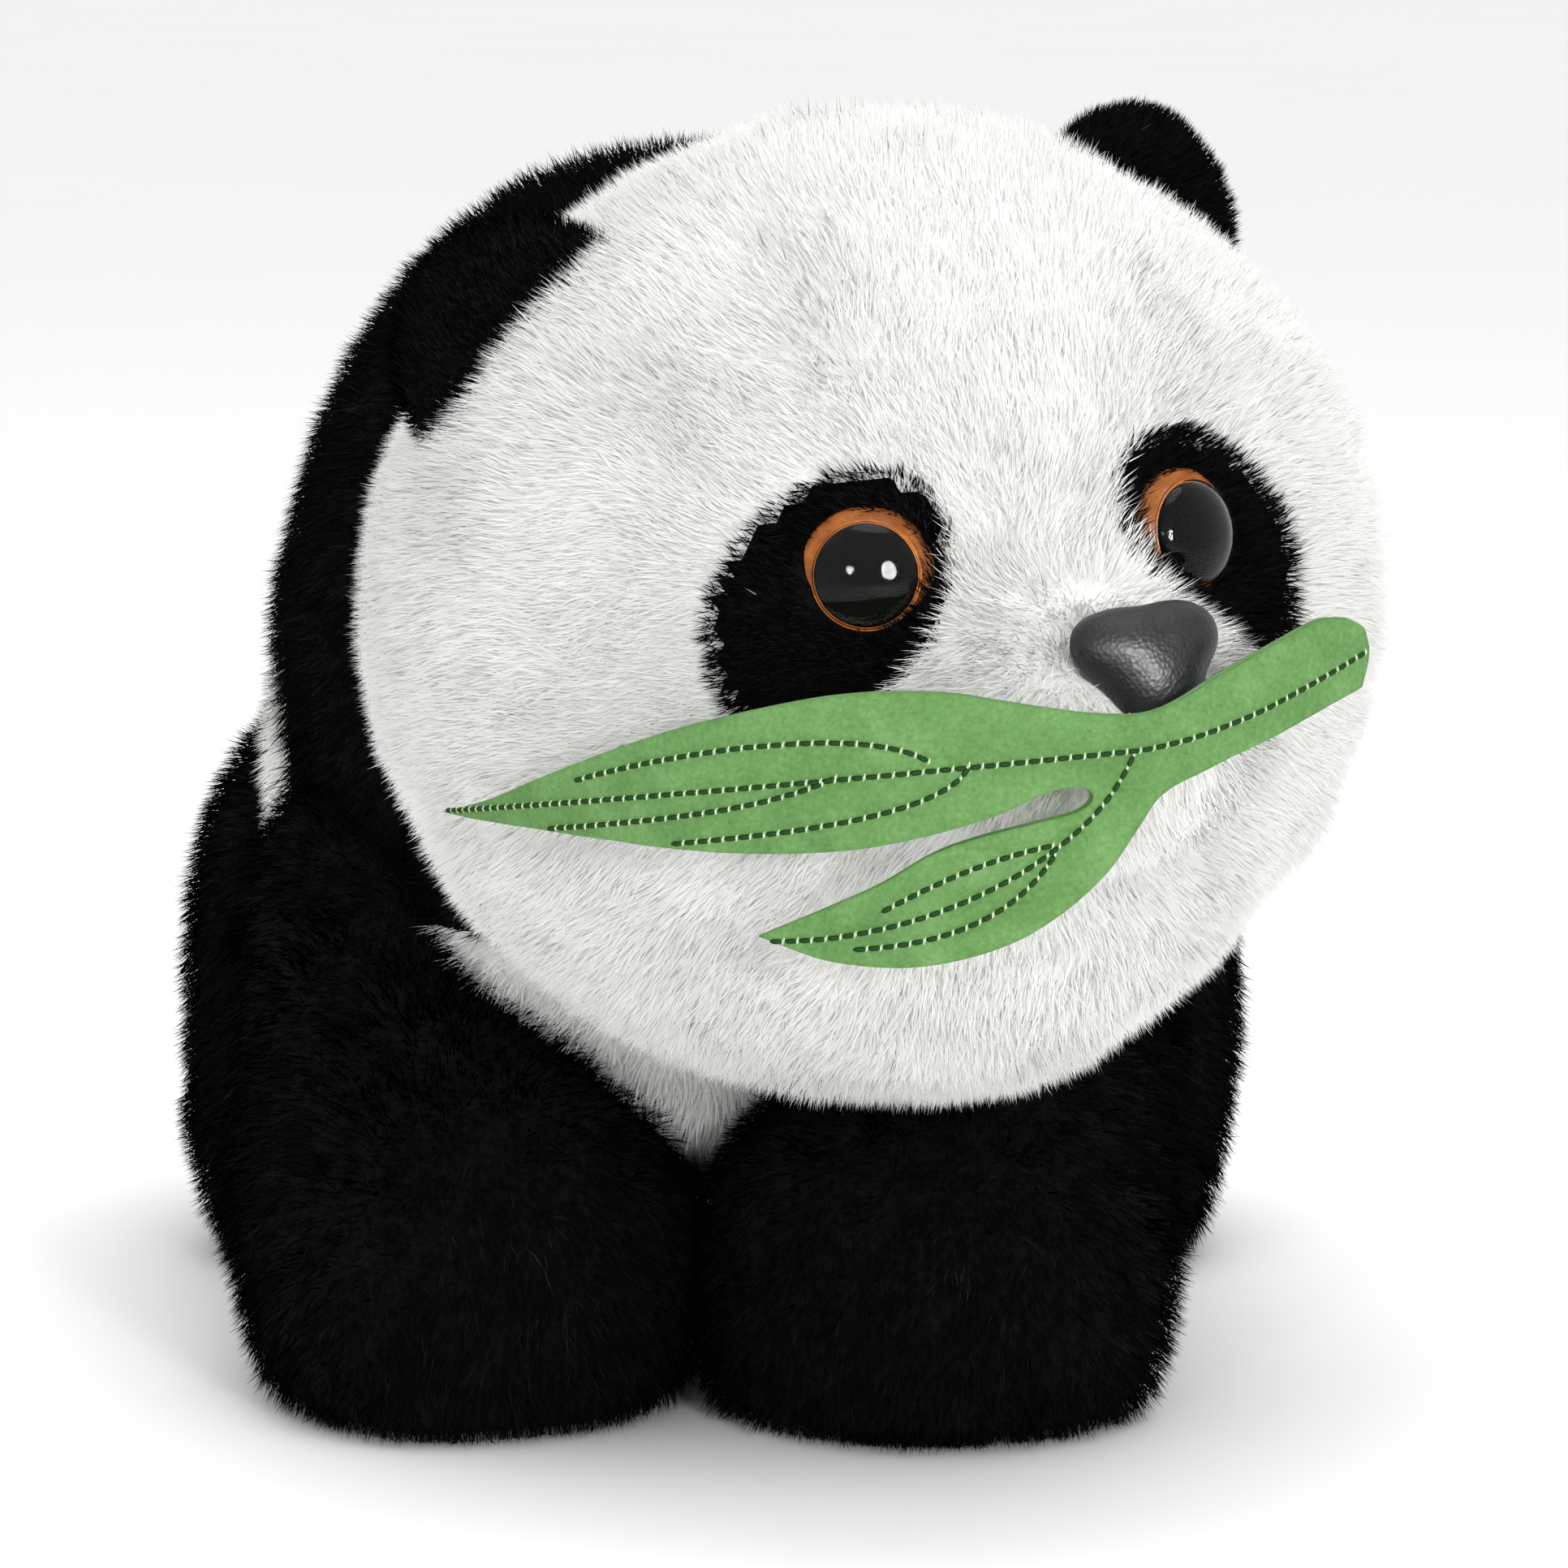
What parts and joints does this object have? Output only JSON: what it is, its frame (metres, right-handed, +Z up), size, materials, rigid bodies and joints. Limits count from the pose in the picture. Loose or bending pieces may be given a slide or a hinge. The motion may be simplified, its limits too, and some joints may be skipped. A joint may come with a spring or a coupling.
{
  "type": "plush panda",
  "caption": "Soft toy panda standing on four legs, white and black pile, head turned to its left, with a green felt sprig in its mouth.",
  "frame": {"origin": "floor level, under the middle of the toy's box", "axes": "+Z up, -Y the way the body faces, +X to the panda's own left"},
  "size_m": [0.1836, 0.2884, 0.1922],
  "materials": {
    "white_pile": "long soft white pile fabric",
    "black_pile": "long soft black pile fabric",
    "short_black_pile": "short black velour pile",
    "green_felt": "matte wool felt",
    "stitch_thread": "embroidery thread",
    "white_thread": "sewing thread",
    "clear_plastic": "clear polished acrylic",
    "amber_plastic": "amber polished plastic",
    "black_plastic": "black polished plastic",
    "nose_plastic": "dark satin plastic with fine leather grain",
    "washer_plastic": "natural moulded washer plastic",
    "fibre_fill": "loose polyester fibre",
    "pellet_fill": "plastic pellets in a thin bag"
  },
  "bodies": {
    "torso": {"torso_stuffing": "fibre_fill", "shoulder_yoke": "black_pile", "left_flank_panel": "white_pile", "right_flank_panel": "white_pile", "belly_panel": "white_pile", "closing_stitches": "white_thread"},
    "neck": {"neck_stuffing": "fibre_fill", "neck_gusset": "black_pile"},
    "head": {"head_stuffing": "fibre_fill", "crown_panel": "white_pile", "back_head_panel": "white_pile", "left_cheek_panel": "white_pile", "right_cheek_panel": "white_pile", "chin_panel": "white_pile", "muzzle_panel": "white_pile", "left_eye_patch": "short_black_pile", "left_eye_dome": "clear_plastic", "left_eye_pupil": "black_plastic", "left_eye_iris": "amber_plastic", "left_eye_washer": "washer_plastic", "right_eye_patch": "short_black_pile", "right_eye_dome": "clear_plastic", "right_eye_pupil": "black_plastic", "right_eye_iris": "amber_plastic", "right_eye_washer": "washer_plastic", "nose": "nose_plastic", "nose_washer": "washer_plastic"},
    "left_ear": {"left_ear_front": "short_black_pile", "left_ear_back": "short_black_pile"},
    "right_ear": {"right_ear_front": "short_black_pile", "right_ear_back": "short_black_pile"},
    "sprig": {"sprig_felt_front": "green_felt", "sprig_felt_back": "green_felt", "sprig_stitching": "stitch_thread"},
    "tail": {"tail_skin": "white_pile", "tail_stuffing": "fibre_fill"},
    "left_front_leg": {"left_front_leg_skin": "black_pile", "left_front_leg_stuffing": "fibre_fill", "left_front_sole": "black_pile", "left_front_pellets": "pellet_fill"},
    "left_rear_leg": {"left_rear_leg_skin": "black_pile", "left_rear_leg_stuffing": "fibre_fill", "left_rear_sole": "black_pile", "left_rear_pellets": "pellet_fill"},
    "right_front_leg": {"right_front_leg_skin": "black_pile", "right_front_leg_stuffing": "fibre_fill", "right_front_sole": "black_pile", "right_front_pellets": "pellet_fill"},
    "right_rear_leg": {"right_rear_leg_skin": "black_pile", "right_rear_leg_stuffing": "fibre_fill", "right_rear_sole": "black_pile", "right_rear_pellets": "pellet_fill"}
  },
  "joints": [
    {"name": "head_turn", "type": "hinge", "parent": "torso", "child": "neck", "pos_m": [0.00143, -0.00127, 0.12], "axis": [0, 0, 1], "range_deg": [-10, 10], "stiffness_Nm_per_rad": 3},
    {"name": "head_nod", "type": "hinge", "parent": "neck", "child": "head", "pos_m": [0.00143, -0.00127, 0.12], "axis": [0.9781, 0.2079, 0], "range_deg": [-6, 8], "stiffness_Nm_per_rad": 6},
    {"name": "tail_wag", "type": "hinge", "parent": "torso", "child": "tail", "pos_m": [-0.00757, 0.12541, 0.08178], "axis": [0, 0, 1], "range_deg": [-20, 20], "stiffness_Nm_per_rad": 0.02},
    {"name": "left_front_leg_swing", "type": "hinge", "parent": "torso", "child": "left_front_leg", "pos_m": [0.03443, 0.01673, 0.056], "axis": [1, 0, 0], "range_deg": [-8, 8], "stiffness_Nm_per_rad": 2},
    {"name": "left_rear_leg_swing", "type": "hinge", "parent": "torso", "child": "left_rear_leg", "pos_m": [0.05043, 0.09673, 0.048], "axis": [1, 0, 0], "range_deg": [-6, 6], "stiffness_Nm_per_rad": 2},
    {"name": "left_ear_flex", "type": "hinge", "parent": "head", "child": "left_ear", "pos_m": [0.06332, -0.03134, 0.17991], "axis": [0.7407, 0.2843, -0.6088], "range_deg": [-20, 20], "stiffness_Nm_per_rad": 0.02},
    {"name": "right_front_leg_swing", "type": "hinge", "parent": "torso", "child": "right_front_leg", "pos_m": [-0.04157, 0.01673, 0.056], "axis": [1, 0, 0], "range_deg": [-8, 8], "stiffness_Nm_per_rad": 2},
    {"name": "right_rear_leg_swing", "type": "hinge", "parent": "torso", "child": "right_rear_leg", "pos_m": [-0.05757, 0.09673, 0.048], "axis": [1, 0, 0], "range_deg": [-6, 6], "stiffness_Nm_per_rad": 2},
    {"name": "right_ear_flex", "type": "hinge", "parent": "head", "child": "right_ear", "pos_m": [-0.03295, -0.0683, 0.16542], "axis": [0.5553, 0.2132, 0.8039], "range_deg": [-20, 20], "stiffness_Nm_per_rad": 0.02},
    {"name": "sprig_flap", "type": "hinge", "parent": "head", "child": "sprig", "pos_m": [0.05611, -0.1348, 0.11402], "axis": [-0.0732, -0.0281, 0.9969], "range_deg": [0, 18], "stiffness_Nm_per_rad": 0.02}
  ]
}
